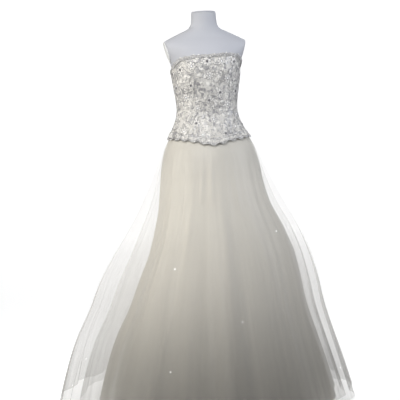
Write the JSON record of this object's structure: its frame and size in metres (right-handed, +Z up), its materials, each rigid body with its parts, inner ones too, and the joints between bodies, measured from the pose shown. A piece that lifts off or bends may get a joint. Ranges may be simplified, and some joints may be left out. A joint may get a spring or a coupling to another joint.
{
  "type": "wedding dress on a dress form",
  "caption": "Strapless ball gown with a beaded basque bodice and a full sheer-layered skirt, worn by a limbless dress form on a round stand.",
  "frame": {"origin": "middle of the underside of the stand's round base, on the axis of the pole", "axes": "+Z up along the pole, the dress faces -Y, +X is the wearer's left"},
  "size_m": [1.214, 1.2707, 1.5553],
  "materials": {
    "bodice_lace": "ivory satin covered with silver-grey beaded lace embroidery",
    "silver_beading": "narrow edging of silver beads and small crystals",
    "ivory_satin": "opaque ivory duchess satin with a soft sheen",
    "ivory_tulle": "sheer soft ivory tulle in loose layers",
    "form_jersey": "smooth pale blue-grey moulded shell",
    "stand_metal": "brushed steel",
    "zip_metal": "pale nickel"
  },
  "bodies": {
    "gown_and_form": {"bodice_front": "bodice_lace", "bodice_side_front_left": "bodice_lace", "bodice_side_front_right": "bodice_lace", "bodice_side_back_left": "bodice_lace", "bodice_side_back_right": "bodice_lace", "bodice_back_left": "bodice_lace", "bodice_back_right": "bodice_lace", "neckline_trim": "silver_beading", "basque_trim": "silver_beading", "skirt_satin_front": "ivory_satin", "skirt_satin_back": "ivory_satin", "zip_tape": "ivory_satin", "tulle_under_front": "ivory_tulle", "tulle_under_back": "ivory_tulle", "tulle_over_front": "ivory_tulle", "tulle_over_back": "ivory_tulle", "form_torso": "form_jersey", "form_neck_cap": "form_jersey", "form_arm_cap_left": "form_jersey", "form_arm_cap_right": "form_jersey", "stand_flange": "stand_metal", "stand_pole": "stand_metal", "stand_base": "stand_metal", "zip_slider": "zip_metal"},
    "pull": {"zip_pull": "zip_metal"}
  },
  "joints": [
    {"name": "zip_pull_swing", "type": "hinge", "parent": "gown_and_form", "child": "pull", "pos_m": [0, 0.11085, 1.2985], "axis": [1, 0, 0], "range_deg": [0, 150]}
  ]
}
